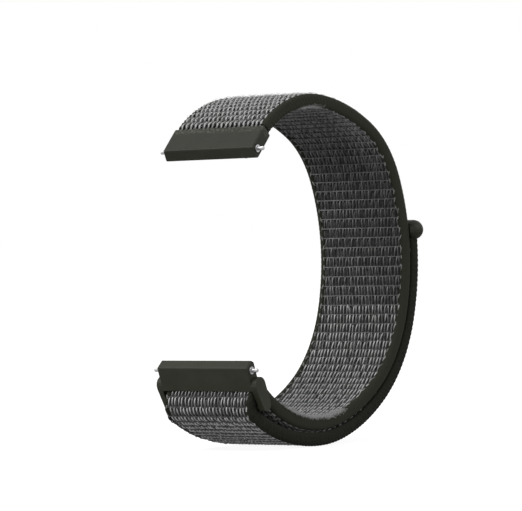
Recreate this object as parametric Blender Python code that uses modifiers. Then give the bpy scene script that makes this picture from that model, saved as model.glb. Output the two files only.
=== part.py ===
# Woven loop strap for a wrist watch, with two quick-release spring bars.
# Metres, +Z up. X runs along the spring bars, Y from the watch case to the back of the wrist.
# The origin is the middle of the watch case, half way between the two spring bars.
import math

import bmesh
import bpy
from mathutils import Matrix, Vector

# Band of webbing
band_width = 0.0210
band_thickness = 0.0024
edge_cord_width = 0.0014      # dark cord woven along each edge
edge_cord_round = 0.0006
weave_round = 0.0002
layer_gap = 0.0005            # between the inner run and the lap over it
tongue_thickness = 0.0010     # the webbing is pressed thin where a moulding holds it
seat_gap = 0.00025            # left between pieces that touch

# Loop, from the upper connector over the top and round to the lower frame
exit_radius = 0.0073          # the short bend as the band leaves the upper connector
crown_front_radius = 0.0277
crown_back_radius = 0.0461
shoulder_radius = 0.0208
back_radius = 0.0394
heel_radius = 0.0273
sole_radius = 0.0400
rise_radius = 0.0300
loop_heading = math.radians(46.5)
exit_turn = math.radians(10.5)
crown_front_turn = math.radians(40.8)
crown_back_turn = math.radians(22.7)
shoulder_turn = math.radians(37.6)
back_turn = math.radians(42.0)
heel_turn = math.radians(37.6)
sole_turn = math.radians(22.9)
rise_turn = math.radians(51.5)

# Lap: the band's second layer, from the fold in the lower frame to the bead
lap_length = 0.0937
slack_radius = 0.0450         # the lap's loose stretch, from the fold to where it lies on the band
flap_length = 0.0270          # the part of the lap that peels open
bead_radius = 0.00205
bead_rise = 0.0005            # the bead's middle stands off the band's middle
bead_overhang = 0.0017        # past each edge of the band
hook_length = 0.0200
hook_margin = 0.0006          # webbing left bare on each side of the hooks
hook_thickness = 0.0007
hook_proud = 0.0002
hook_setback = 0.0034         # from the bead's middle

# Moulded connectors, in their own section: "back" runs from the watch to the band along the
# outer face, and "depth" from the outer face towards the wrist
connector_margin = 0.0003     # past each edge of the band
connector_thickness = 0.0028
connector_round = 0.00022
nose_lead = 0.0008            # the edge next to the case stands ahead of the crease by this
nose_depth = 0.0021
nose_slope = 0.0007
upper_face_length = 0.0060
pocket_depth = 0.0032
pocket_height = 0.0016
lower_face_length = 0.0050
lower_heading = math.radians(-68.7)

# Lower frame: slot, crossbar and ears
crossbar_radius = 0.0011
crossbar_depth = 0.0021
slot_clearance = 0.0003
ear_thickness = 0.0012
ear_end_radius = 0.0013
ear_root_radius = 0.00165
ear_root_back = 0.0042
ear_root_depth = 0.0016
ear_round = 0.0003
ear_root_overlap = 0.0003

# Spring bars
bar_back = 0.00095
bar_depth = 0.0013
bar_radius = 0.00075
bar_bore_clearance = 0.00006
bar_overhang = 0.0002
barrel_bore_radius = 0.00053
crimp_length = 0.0004
crimp_hole_radius = 0.00046
piston_radius = 0.00049
fixed_piston_length = 0.0015
sliding_piston_length = 0.0055
tip_radius = 0.0004
tip_reach = 0.0014
tip_chamfer = 0.00012
pin_travel = 0.0015

# Release levers
lever_setback = 0.0036        # from the end of the barrel
lever_stem_radius = 0.0003
lever_stem_foot = 0.00054
lever_head_radius = 0.00065
lever_head_low = 0.0012
lever_head_top = 0.0021
lever_chamfer = 0.00012
lever_clearance = 0.0001
notch_half_width = 0.0011
notch_end_clearance = 0.0003

# Springs
spring_coil_radius = 0.00034
spring_wire_radius = 0.00009
spring_turns = 12
spring_end_gap = 0.00012

# Drawing
chord_error = 0.00003
round_steps = 20
small_round_steps = 16
arc_steps = 8
spring_points_per_turn = 8
cut_overrun = 0.001
merge_distance = 0.000001

half_width = band_width / 2
core_half = half_width - edge_cord_width - seat_gap
hook_half = core_half - hook_margin
connector_half = half_width + connector_margin
barrel_half = connector_half + bar_overhang
fold_radius = crossbar_radius + slot_clearance + band_thickness / 2
slot_radius = fold_radius + band_thickness / 2 + slot_clearance
lap_offset = band_thickness + layer_gap
lever_place = barrel_half - lever_setback


# Route of the band

def direction(heading):
    return Vector((math.cos(heading), math.sin(heading)))


def left_of(heading):
    return Vector((-math.sin(heading), math.cos(heading)))


class Route:
    """Arcs and straights in the YZ plane, each one starting where the last one ends."""

    def __init__(self, place, heading):
        self.place = place
        self.heading = heading
        self.length = 0.0
        self.pieces = []

    def add(self, length, curvature):
        self.pieces.append((self.length, length, self.place, self.heading, curvature))
        self.length += length
        self.place, self.heading = self.at(self.length)

    def straight(self, length):
        self.add(length, 0.0)

    def turn_right(self, radius, angle):
        self.add(radius * angle, -1 / radius)

    def turn_left(self, radius, angle):
        self.add(radius * angle, 1 / radius)

    def at(self, distance):
        """Place and heading at a distance along the route."""
        begun = [piece for piece in self.pieces if piece[0] <= distance]
        start, length, place, heading, curvature = (begun or self.pieces)[-1]
        along = distance - start
        if curvature == 0:
            return place + direction(heading) * along, heading
        centre = place + left_of(heading) / curvature
        turned = heading + curvature * along
        return centre - left_of(turned) / curvature, turned

    def stops(self, first, last):
        """Distances from first to last, close enough together for a smooth polyline."""
        found = [first]
        for start, length, place, heading, curvature in self.pieces:
            low = max(start, first)
            high = min(start + length, last)
            if high - low < merge_distance:
                continue
            turn = (high - low) * abs(curvature)
            step = 2 * math.acos(1 - chord_error * abs(curvature))
            count = math.ceil(turn / step) if turn else 1
            found += [low + (high - low) * (index + 1) / count for index in range(count)]
        if last - found[-1] > merge_distance:
            found.append(last)
        return found


def loop_pieces():
    return (
        (exit_radius, exit_turn),
        (crown_front_radius, crown_front_turn),
        (crown_back_radius, crown_back_turn),
        (shoulder_radius, shoulder_turn),
        (back_radius, back_turn),
        (heel_radius, heel_turn),
        (sole_radius, sole_turn),
        (rise_radius, rise_turn),
    )


def corner_angle(first, second, opposite):
    """The angle between two sides of a triangle, from the lengths of all three."""
    return math.acos((first ** 2 + second ** 2 - opposite ** 2) / (2 * first * second))


def fold_and_lap(route):
    """Fold the band round the crossbar and run it back outside the inner run."""
    # A long flat arc touches the fold at one end and the rise's outer arc at the other
    from_rise = slack_radius - rise_radius - lap_offset
    from_fold = slack_radius - fold_radius
    spread = rise_radius + fold_radius
    slack_turn = corner_angle(from_fold, from_rise, spread)
    shared_turn = math.pi - corner_angle(spread, from_rise, from_fold)
    route.turn_left(fold_radius, math.pi + shared_turn - slack_turn)
    route.turn_left(slack_radius, slack_turn)
    route.turn_left(rise_radius + lap_offset, rise_turn - shared_turn)
    for radius, angle in reversed(loop_pieces()[:-1]):
        route.turn_left(radius + lap_offset, angle)


def band_route():
    """The whole band from the upper connector's pocket, with its named distances."""
    route = Route(Vector((0.0, 0.0)), loop_heading)
    route.straight(pocket_depth + seat_gap)
    for radius, angle in loop_pieces():
        route.turn_right(radius, angle)
    marks = {"fold": route.length, "fold_place": route.place, "fold_heading": route.heading}
    fold_and_lap(route)
    marks["bead"] = marks["fold"] + lap_length
    marks["peel"] = marks["bead"] - flap_length
    return route, marks


# Sections of the connectors

class Section:
    """A connector's own axes in the YZ plane: back along its outer face, and depth."""

    def __init__(self, crease, back, depth):
        self.crease = crease
        self.back = back
        self.depth = depth

    def point(self, back, depth):
        return self.crease + self.back * back + self.depth * depth


def upper_section(route):
    back = direction(loop_heading)
    depth = -left_of(loop_heading)
    pocket_end = upper_face_length - pocket_depth + seat_gap
    crease = route.at(0)[0] - back * pocket_end - depth * connector_thickness / 2
    return Section(crease, back, depth)


def lower_section(marks):
    back = direction(lower_heading)
    depth = left_of(lower_heading)
    crossbar = marks["fold_place"] + left_of(marks["fold_heading"]) * fold_radius
    crease = crossbar - back * crossbar_back() - depth * crossbar_depth
    return Section(crease, back, depth)


def crossbar_back():
    """How far back the crossbar lies, so that the slot's arc ends at the face's lower edge."""
    return lower_face_length + math.sqrt(slot_radius ** 2 - crossbar_depth ** 2)


# Blender helpers

def clear_scene():
    for item in list(bpy.data.objects):
        bpy.data.objects.remove(item)


def new_collection(name):
    found = bpy.data.collections.new(name)
    bpy.context.scene.collection.children.link(found)
    return found


def new_material(name, colour, roughness, metallic):
    made = bpy.data.materials.new(name)
    made.use_nodes = True
    shader = made.node_tree.nodes["Principled BSDF"]
    shader.inputs["Base Color"].default_value = (*colour, 1.0)
    shader.inputs["Roughness"].default_value = roughness
    shader.inputs["Metallic"].default_value = metallic
    made.diffuse_color = (*colour, 1.0)
    return made


def link_mesh(name, mesh, collection, material=None):
    made = bpy.data.objects.new(name, mesh)
    collection.objects.link(made)
    if material:
        mesh.materials.append(material)
    return made


def settle(obj, collection, material=None):
    """Turn an object with its modifiers into a plain mesh object with its place in its mesh."""
    bpy.context.view_layer.update()
    seen = obj.evaluated_get(bpy.context.evaluated_depsgraph_get())
    mesh = bpy.data.meshes.new_from_object(seen)
    mesh.transform(obj.matrix_world)
    name = obj.name
    bpy.data.objects.remove(obj)
    work = bmesh.new()
    work.from_mesh(mesh)
    bmesh.ops.remove_doubles(work, verts=work.verts, dist=merge_distance)
    bmesh.ops.recalc_face_normals(work, faces=work.faces)
    work.to_mesh(mesh)
    work.free()
    mesh.materials.clear()
    mesh.name = name
    return link_mesh(name, mesh, collection, material)


def add_bevel(obj, width, segments):
    bevel = obj.modifiers.new("round edges", "BEVEL")
    bevel.width = width
    bevel.segments = segments
    bevel.limit_method = "ANGLE"
    bevel.angle_limit = math.radians(40)
    bevel.harden_normals = False


def combine(obj, tool, operation):
    """Cut obj by tool, or join the two, and keep the tool as a hidden guide."""
    joined = obj.modifiers.new(operation.lower() + " " + tool.name, "BOOLEAN")
    joined.operation = operation
    joined.solver = "EXACT"
    joined.object = tool
    tool.hide_render = True
    tool.display_type = "WIRE"


def extruded(name, outline, low, high, collection, material=None):
    """A flat outline of (y, z) points, drawn as a filled curve and given its depth along X."""
    curve = bpy.data.curves.new(name, "CURVE")
    curve.dimensions = "2D"
    curve.fill_mode = "BOTH"
    curve.extrude = (high - low) / 2
    spline = curve.splines.new("POLY")
    spline.points.add(len(outline) - 1)
    for point, place in zip(spline.points, outline):
        point.co = (place[0], place[1], 0, 1)
    spline.use_cyclic_u = True
    made = bpy.data.objects.new(name, curve)
    collection.objects.link(made)
    turn = Matrix(((0, 0, 1), (1, 0, 0), (0, 1, 0))).to_4x4()
    made.matrix_world = Matrix.Translation(((low + high) / 2, 0, 0)) @ turn
    return settle(made, collection, material)


def strip(name, route, ends, offset, thickness, sides, collection, material=None):
    """A layer of the band: the route drawn out to its width, then given its thickness."""
    work = bmesh.new()
    row = []
    for distance in route.stops(*ends):
        place, heading = route.at(distance)
        place = place + left_of(heading) * offset
        row.append(work.verts.new((sides[0], place.x, place.y)))
    edges = [work.edges.new(pair) for pair in zip(row, row[1:])]
    drawn = bmesh.ops.extrude_edge_only(work, edges=edges)["geom"]
    moved = [item for item in drawn if isinstance(item, bmesh.types.BMVert)]
    bmesh.ops.translate(work, verts=moved, vec=(sides[1] - sides[0], 0, 0))
    mesh = bpy.data.meshes.new(name)
    work.to_mesh(mesh)
    work.free()
    made = link_mesh(name, mesh, collection, material)
    shell = made.modifiers.new("thickness", "SOLIDIFY")
    shell.thickness = thickness
    shell.offset = 0
    shell.use_even_offset = True
    return made


def turned(name, profile, axis, steps, collection, material=None, closed=False):
    """A profile of (along, radius) points turned about X or Z."""
    work = bmesh.new()
    row = []
    for along, radius in profile:
        row.append(work.verts.new((along, 0, radius) if axis == "X" else (radius, 0, along)))
    pairs = list(zip(row, row[1:]))
    if closed:
        pairs.append((row[-1], row[0]))
    for pair in pairs:
        work.edges.new(pair)
    mesh = bpy.data.meshes.new(name)
    work.to_mesh(mesh)
    work.free()
    made = link_mesh(name, mesh, collection)
    screw = made.modifiers.new("turn", "SCREW")
    screw.axis = axis
    screw.angle = math.tau
    screw.steps = steps
    screw.render_steps = steps
    screw.use_merge_vertices = True
    screw.merge_threshold = merge_distance
    return settle(made, collection, material)


def place(obj, empty, matrix=None):
    """Hang a piece that was modelled about the origin on the empty of its own joint."""
    if matrix:
        obj.data.transform(matrix)
    obj.parent = empty


def hang(obj, empty):
    """Hang a piece that was modelled in place on the empty of its own joint."""
    obj.parent = empty
    obj.matrix_parent_inverse = empty.matrix_world.inverted()


def add_empty(name, yz, turn, collection, parent=None):
    made = bpy.data.objects.new(name, None)
    made.empty_display_size = connector_thickness
    collection.objects.link(made)
    made.matrix_world = Matrix.Translation((0, *yz)) @ Matrix.Rotation(turn, 4, "X")
    bpy.context.view_layer.update()
    if parent:
        made.parent = parent
        made.matrix_parent_inverse = parent.matrix_world.inverted()
    bpy.context.view_layer.update()
    return made


def arc(centre, radius, first, last, steps):
    turn = (last - first) / steps
    return [centre + direction(first + turn * index) * radius for index in range(steps + 1)]


def angle_of(vector):
    return math.atan2(vector.y, vector.x)


def shade(obj):
    obj.data.shade_smooth()
    obj.data.set_sharp_from_angle(angle=math.radians(35))


# Band and flap

def build_weave(name, route, ends, tongue, parts, cutters, material):
    """The woven core, and the pressed tongue that goes into the moulding at one end."""
    sides = (-core_half, core_half)
    body = strip(name, route, ends, 0, band_thickness, sides, cutters)
    add_bevel(body, weave_round, 1)
    body = settle(body, parts, material)
    pressed = strip(name + "_tongue", route, tongue, 0, tongue_thickness, sides, cutters)
    combine(body, settle(pressed, cutters), "UNION")
    return body


def build_edge_cord(name, route, ends, side, parts, cutters, material):
    sides = sorted((side * half_width, side * (half_width - edge_cord_width)))
    cord = strip(name, route, ends, 0, band_thickness, sides, cutters)
    add_bevel(cord, edge_cord_round, 2)
    return settle(cord, parts, material)


def build_band(route, marks, parts, cutters, materials):
    start = pocket_depth + seat_gap
    end = marks["peel"] - seat_gap / 2
    tongue = (0, start + band_thickness)
    build_weave("band_weave", route, (start, end), tongue, parts, cutters, materials["weave"])
    for name, side in (("band_edge_near", 1), ("band_edge_far", -1)):
        build_edge_cord(name, route, (start, end), side, parts, cutters, materials["edge"])


def bead_centre(route, marks):
    place, heading = route.at(marks["bead"])
    return place - left_of(heading) * bead_rise


def flap_end(marks):
    """The full thickness of the flap stops just short of the bead's mouth."""
    return marks["bead"] - math.sqrt(bead_radius ** 2 - (band_thickness / 2 - bead_rise) ** 2) - seat_gap


def build_flap(route, marks, empty, parts, cutters, materials):
    start = marks["peel"] + seat_gap / 2
    end = flap_end(marks)
    tongue = (end - band_thickness, marks["bead"])
    flap = build_weave("flap_weave", route, (start, end), tongue, parts, cutters, materials["weave"])
    hook_end = marks["bead"] - hook_setback
    hook_start = hook_end - hook_length
    patch_middle = band_thickness / 2 + hook_proud - hook_thickness / 2
    patch = strip(
        "hook_patch", route, (hook_start, hook_end), patch_middle, hook_thickness,
        (-hook_half, hook_half), cutters,
    )
    patch = settle(patch, parts, materials["hook"])
    recess_floor = patch_middle - hook_thickness / 2 - seat_gap
    recess_top = band_thickness / 2 + layer_gap
    recess = strip(
        "hook_recess", route, (hook_start - seat_gap, hook_end + seat_gap),
        (recess_floor + recess_top) / 2, recess_top - recess_floor,
        (-hook_half - seat_gap, hook_half + seat_gap), cutters,
    )
    combine(flap, settle(recess, cutters), "DIFFERENCE")
    pieces = [flap, patch]
    for name, side in (("flap_edge_near", 1), ("flap_edge_far", -1)):
        pieces.append(build_edge_cord(name, route, (start, end), side, parts, cutters, materials["edge"]))
    pieces.append(build_bead(route, marks, parts, cutters, materials["moulded"]))
    for piece in pieces:
        hang(piece, empty)


def build_bead(route, marks, parts, cutters, material):
    """The round pull at the free end, moulded over the tongue of the webbing."""
    reach = half_width + bead_overhang
    profile = [(-reach, 0)]
    for index in range(1, arc_steps + 1):
        angle = math.pi / 2 / arc_steps * index
        profile.append((bead_radius * (1 - math.cos(angle)) - reach, bead_radius * math.sin(angle)))
    profile += [(-along, radius) for along, radius in reversed(profile)]
    bead = turned("end_bead", profile, "X", round_steps, parts, material)
    centre = bead_centre(route, marks)
    bead.data.transform(Matrix.Translation((0, *centre)))
    pocket_half = (tongue_thickness + 2 * seat_gap) / 2
    mouth = strip(
        "bead_mouth", route, (flap_end(marks), marks["bead"] + seat_gap), 0, 2 * pocket_half,
        (-core_half - seat_gap, core_half + seat_gap), cutters,
    )
    combine(bead, settle(mouth, cutters), "DIFFERENCE")
    shade(bead)
    return bead


# Connectors

def nose_points(section):
    """The end next to the watch case, from the wrist side round to the crease."""
    return [
        section.point(nose_slope - nose_lead, connector_thickness),
        section.point(-nose_lead, nose_depth),
        section.point(0, 0),
    ]


def cut_for_bar(connector, section, parts, cutters):
    """The through bore for the spring bar, and the notch that shows its lever."""
    axis = section.point(bar_back, bar_depth)
    reach = connector_half + ear_thickness + cut_overrun
    bore_radius = bar_radius + bar_bore_clearance
    profile = [(-reach, 0), (-reach, bore_radius), (reach, bore_radius), (reach, 0)]
    bore = turned(connector.name + "_bore", profile, "X", round_steps, cutters)
    bore.data.transform(Matrix.Translation((0, *axis)))
    combine(connector, bore, "DIFFERENCE")
    outline = [
        section.point(bar_back - notch_half_width, bar_depth),
        section.point(bar_back + notch_half_width, bar_depth),
        section.point(bar_back + notch_half_width, connector_thickness + cut_overrun),
        section.point(bar_back - notch_half_width, connector_thickness + cut_overrun),
    ]
    low = lever_place - lever_head_radius - pin_travel - notch_end_clearance
    high = lever_place + lever_head_radius + notch_end_clearance
    notch = extruded(connector.name + "_notch", outline, low, high, cutters)
    combine(connector, notch, "DIFFERENCE")


def build_upper_connector(section, parts, cutters, material):
    outline = nose_points(section) + [
        section.point(upper_face_length, 0),
        section.point(upper_face_length, connector_thickness),
    ]
    body = extruded("upper_connector", outline, -connector_half, connector_half, cutters)
    add_bevel(body, connector_round, 2)
    body = settle(body, parts, material)
    middle = connector_thickness / 2
    low_back = upper_face_length - pocket_depth
    high_back = upper_face_length + cut_overrun
    pocket_outline = [
        section.point(low_back, middle - pocket_height / 2),
        section.point(high_back, middle - pocket_height / 2),
        section.point(high_back, middle + pocket_height / 2),
        section.point(low_back, middle + pocket_height / 2),
    ]
    pocket_half = core_half + seat_gap
    pocket = extruded("upper_pocket", pocket_outline, -pocket_half, pocket_half, cutters)
    combine(body, pocket, "DIFFERENCE")
    cut_for_bar(body, section, parts, cutters)
    shade(body)
    return body


def lug_outline(section, crossbar):
    """The lug over the slot, whose underside is an arc about the crossbar."""
    outer_end = section.point(lower_face_length, 0)
    rise = connector_thickness - crossbar_depth
    inner_back = crossbar_back() - math.sqrt(slot_radius ** 2 - rise ** 2)
    inner_end = section.point(inner_back, connector_thickness)
    first = angle_of(outer_end - crossbar)
    last = angle_of(inner_end - crossbar)
    sweep = (last - first + math.pi) % math.tau - math.pi
    return nose_points(section) + arc(crossbar, slot_radius, first, first + sweep, arc_steps)


def ear_outline(section, crossbar):
    """Two circles and their outer tangents: the root on the lug and the end on the crossbar."""
    root = section.point(ear_root_back, ear_root_depth)
    span = crossbar - root
    lean = math.acos((ear_root_radius - ear_end_radius) / span.length)
    along = angle_of(span)
    outline = arc(crossbar, ear_end_radius, along - lean, along + lean, arc_steps)
    outline += arc(root, ear_root_radius, along + lean, along - lean + math.tau, arc_steps)
    return outline


def build_lower_frame(section, crossbar, empty, parts, cutters, material):
    outline = lug_outline(section, crossbar)
    body = extruded("lower_frame", outline, -connector_half, connector_half, cutters)
    add_bevel(body, connector_round, 2)
    body = settle(body, parts, material)
    ear_inside = connector_half - ear_root_overlap
    ear_outside = connector_half + ear_thickness
    for name, low, high in (
        ("near_ear", ear_inside, ear_outside),
        ("far_ear", -ear_outside, -ear_inside),
    ):
        ear = extruded(name, ear_outline(section, crossbar), low, high, cutters)
        add_bevel(ear, ear_round, 2)
        combine(body, settle(ear, cutters), "UNION")
    slot_profile = [
        (-connector_half, 0), (-connector_half, slot_radius),
        (connector_half, slot_radius), (connector_half, 0),
    ]
    slot = turned("frame_slot", slot_profile, "X", 2 * round_steps, cutters)
    slot.data.transform(Matrix.Translation((0, *crossbar)))
    combine(body, slot, "DIFFERENCE")
    rod_half = connector_half + ear_thickness / 2
    rod_profile = [
        (-rod_half, 0), (-rod_half, crossbar_radius), (rod_half, crossbar_radius), (rod_half, 0),
    ]
    rod = turned("frame_crossbar", rod_profile, "X", round_steps, cutters)
    rod.data.transform(Matrix.Translation((0, *crossbar)))
    combine(body, rod, "UNION")
    cut_for_bar(body, section, parts, cutters)
    shade(body)
    hang(body, empty)
    return body


# Spring bars

def build_barrel(name, empty, parts, cutters, material):
    """A thin tube whose ends are crimped in to hold the tips, slotted for the lever."""
    profile = [
        (-barrel_half, crimp_hole_radius), (-barrel_half, bar_radius),
        (barrel_half, bar_radius), (barrel_half, crimp_hole_radius),
        (barrel_half - crimp_length, crimp_hole_radius),
        (barrel_half - crimp_length, barrel_bore_radius),
        (crimp_length - barrel_half, barrel_bore_radius),
        (crimp_length - barrel_half, crimp_hole_radius),
    ]
    barrel = turned(name, profile, "X", small_round_steps, parts, material, closed=True)
    reach = lever_stem_radius + lever_clearance
    length = 2 * reach + pin_travel
    bpy.ops.mesh.primitive_cube_add(size=1)
    slot = bpy.context.object
    slot.name = name + "_slot"
    slot.data.transform(Matrix.Diagonal((length, 2 * reach, 2 * bar_radius, 1)))
    slot.data.transform(Matrix.Translation((lever_place - pin_travel / 2, 0, bar_radius)))
    slot = settle(slot, cutters)
    combine(barrel, slot, "DIFFERENCE")
    slot.parent = empty
    shade(barrel)
    place(barrel, empty)


def tip_profile(piston_length):
    """A tip at the +X end: the piston inside the barrel and the thin pin that sticks out."""
    end = barrel_half + tip_reach
    inside = barrel_half - crimp_length - lever_clearance
    return [
        (inside - piston_length, 0), (inside - piston_length, piston_radius),
        (inside, piston_radius), (inside, tip_radius),
        (end - tip_chamfer, tip_radius), (end, tip_radius - tip_chamfer), (end, 0),
    ]


def build_tip(name, piston_length, side, empty, parts, material):
    tip = turned(name, tip_profile(piston_length), "X", small_round_steps, parts, material)
    shade(tip)
    place(tip, empty, Matrix.Rotation(0 if side > 0 else math.pi, 4, "Z"))


def build_lever(name, empty, parts, material):
    profile = [
        (lever_stem_foot, 0), (lever_stem_foot, lever_stem_radius),
        (lever_head_low, lever_stem_radius), (lever_head_low, lever_head_radius),
        (lever_head_top - lever_chamfer, lever_head_radius),
        (lever_head_top, lever_head_radius - lever_chamfer), (lever_head_top, 0),
    ]
    lever = turned(name, profile, "Z", small_round_steps, parts, material)
    shade(lever)
    place(lever, empty, Matrix.Translation((lever_place, 0, 0)))


def spring_ends():
    inside = barrel_half - crimp_length - lever_clearance
    margin = spring_wire_radius + spring_end_gap
    return fixed_piston_length - inside + margin, inside - sliding_piston_length - margin


def build_spring(name, empty, parts, cutters, material):
    """One unbroken coil between the two tips."""
    low, high = spring_ends()
    count = spring_turns * spring_points_per_turn
    curve = bpy.data.curves.new(name, "CURVE")
    curve.dimensions = "3D"
    curve.bevel_depth = spring_wire_radius
    curve.bevel_resolution = 1
    curve.use_fill_caps = True
    spline = curve.splines.new("POLY")
    spline.points.add(count)
    for index, point in enumerate(spline.points):
        angle = math.tau * index / spring_points_per_turn
        along = low + (high - low) * index / count
        side = spring_coil_radius * math.cos(angle)
        point.co = (along, side, spring_coil_radius * math.sin(angle), 1)
    made = bpy.data.objects.new(name, curve)
    cutters.objects.link(made)
    spring = settle(made, parts, material)
    shade(spring)
    place(spring, empty)


def build_spring_bar(side_name, section, parent, parts, cutters, materials):
    axis = section.point(bar_back, bar_depth)
    turn = math.atan2(-section.depth.x, section.depth.y)
    bar = add_empty(side_name + "_bar_axis", axis, turn, parts, parent)
    release = add_empty(side_name + "_release_axis", axis, turn, parts, bar)
    prefix = side_name + "_bar_"
    build_barrel(prefix + "barrel", bar, parts, cutters, materials["steel"])
    build_tip(prefix + "fixed_tip", fixed_piston_length, -1, bar, parts, materials["steel"])
    build_spring(prefix + "spring", bar, parts, cutters, materials["spring"])
    build_tip(prefix + "sliding_tip", sliding_piston_length, 1, release, parts, materials["steel"])
    build_lever(prefix + "lever", release, parts, materials["steel"])
    return axis


def spring_pitch_gap():
    low, high = spring_ends()
    return (high - low) / spring_turns - 2 * spring_wire_radius


def say(label, *values):
    print(label, " ".join("%.6f" % value for value in values))


def build():
    clear_scene()
    parts = new_collection("watch_strap")
    cutters = new_collection("cutters")
    materials = {
        "moulded": new_material("moulded olive plastic", (0.050, 0.050, 0.038), 0.55, 0.0),
        "weave": new_material("grey loop webbing", (0.250, 0.250, 0.250), 0.90, 0.0),
        "edge": new_material("dark edge cord", (0.045, 0.046, 0.036), 0.85, 0.0),
        "hook": new_material("hook tape", (0.030, 0.030, 0.028), 0.75, 0.0),
        "steel": new_material("bright steel", (0.700, 0.700, 0.710), 0.25, 1.0),
        "spring": new_material("spring steel", (0.500, 0.500, 0.510), 0.35, 1.0),
    }
    route, marks = band_route()
    upper = upper_section(route)
    lower = lower_section(marks)
    middle = (upper.point(bar_back, bar_depth) + lower.point(bar_back, bar_depth)) / 2
    route.pieces = [(start, length, place - middle, *rest) for start, length, place, *rest in route.pieces]
    upper.crease -= middle
    lower.crease -= middle
    crossbar = lower.point(crossbar_back(), crossbar_depth)
    peel_place, peel_heading = route.at(marks["peel"])
    peel_axis = peel_place - left_of(peel_heading) * band_thickness / 2

    frame_empty = add_empty("frame_axis", crossbar, 0, parts)
    flap_empty = add_empty("peel_axis", peel_axis, 0, parts)
    build_upper_connector(upper, parts, cutters, materials["moulded"])
    build_band(route, marks, parts, cutters, materials)
    build_flap(route, marks, flap_empty, parts, cutters, materials)
    build_lower_frame(lower, crossbar, frame_empty, parts, cutters, materials["moulded"])
    upper_axis = build_spring_bar("upper", upper, None, parts, cutters, materials)
    lower_axis = build_spring_bar("lower", lower, frame_empty, parts, cutters, materials)

    say("upper bar y z", *upper_axis)
    say("lower bar y z", *lower_axis)
    say("crossbar y z", *crossbar)
    say("peel axis y z", *peel_axis)
    say("bead y z", *bead_centre(route, marks))
    say("band length", marks["bead"])
    say("least gap between spring curls", spring_pitch_gap())


build()
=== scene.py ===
import math

import bpy
import numpy as np
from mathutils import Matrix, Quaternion, Vector


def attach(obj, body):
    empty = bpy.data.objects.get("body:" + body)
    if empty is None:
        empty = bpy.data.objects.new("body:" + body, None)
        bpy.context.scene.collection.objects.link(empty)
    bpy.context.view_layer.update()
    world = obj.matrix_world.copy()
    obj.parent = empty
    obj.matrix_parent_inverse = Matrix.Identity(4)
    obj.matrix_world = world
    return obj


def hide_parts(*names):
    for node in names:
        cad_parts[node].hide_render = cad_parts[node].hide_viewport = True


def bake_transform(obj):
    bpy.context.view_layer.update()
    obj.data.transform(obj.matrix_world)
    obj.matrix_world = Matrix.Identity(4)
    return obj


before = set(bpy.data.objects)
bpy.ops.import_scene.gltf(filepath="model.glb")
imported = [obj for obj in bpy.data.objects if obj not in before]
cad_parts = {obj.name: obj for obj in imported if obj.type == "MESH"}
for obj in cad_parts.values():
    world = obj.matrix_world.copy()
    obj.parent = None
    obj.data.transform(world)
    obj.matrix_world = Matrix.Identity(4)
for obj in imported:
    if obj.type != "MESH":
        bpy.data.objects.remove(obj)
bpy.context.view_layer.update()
print("packed strap loaded")

# Camera, at the angle of the photograph
cameraLook = {
    "azimuth": 36.0,
    "elevation": -0.22,
    "roll": -0.96,
    "distance": 0.6,
    "middle": (0.0, 0.003345, -0.00062),
    "aimRight": 0.0082015,
    "aimUp": 0.0014775,
    "lens": 211.45,
}


def placeCamera(look):
    azimuth = math.radians(look["azimuth"])
    elevation = math.radians(look["elevation"])
    back = Vector((
        math.sin(azimuth) * math.cos(elevation),
        -math.cos(azimuth) * math.cos(elevation),
        math.sin(elevation),
    ))
    right = Vector((math.cos(azimuth), math.sin(azimuth), 0))
    up = back.cross(right)
    middle = Vector(look["middle"])
    roll = math.radians(look["roll"])
    across = right * math.cos(roll) + up * math.sin(roll)
    upward = up * math.cos(roll) - right * math.sin(roll)
    location = middle + back * look["distance"]
    target = middle + across * look["aimRight"] + upward * look["aimUp"]
    bpy.ops.object.camera_add(location=location)
    camera = bpy.context.object
    camera.name = "photoCamera"
    view = target - location
    turn = view.to_track_quat("-Z", "Y")
    level = turn @ Vector((0, 1, 0))
    lean = math.atan2(upward.dot(turn @ Vector((1, 0, 0))), upward.dot(level))
    camera.rotation_mode = "QUATERNION"
    camera.rotation_quaternion = Quaternion(view.normalized(), lean) @ turn
    camera.data.lens = look["lens"]
    camera.data.sensor_width = 36
    camera.data.clip_start = 0.01
    camera.data.clip_end = 20
    bpy.context.scene.camera = camera


placeCamera(cameraLook)
print("camera placed")


# Route of the band in the YZ plane: legs of a length and a curvature, one after another
strap = {
    "start": (0.00313385, 0.02285071),
    "heading": 46.5,
    "tail": 0.00345,
    "bends": (
        (0.0073, 10.5), (0.0277, 40.8), (0.0461, 22.7), (0.0208, 37.6),
        (0.0394, 42.0), (0.0273, 37.6), (0.0400, 22.9), (0.0300, 51.5),
    ),
    "foldRadius": 0.0026,
    "slackRadius": 0.0450,
    "thickness": 0.0024,
    "layerGap": 0.0005,
    "lapLength": 0.0937,
    "flapLength": 0.0270,
    "looseLength": 0.0370,      # the lap's end, from here on, is a piece of its own
    "rowPitch": 0.00203,
    "lastRow": 0.0020,          # the rows end this far before the bead's middle
    "lowerPlace": 0.083,        # past this the wrist side's rows are painted paler, as painted light, and parted by dark lines of painted shade
    "samples": 4801,            # places at which a face's length is measured
}


def cornerAngle(first, second, opposite):
    # Angle between two sides of a triangle, from the lengths of all three
    return math.acos((first ** 2 + second ** 2 - opposite ** 2) / (2 * first * second))


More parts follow.
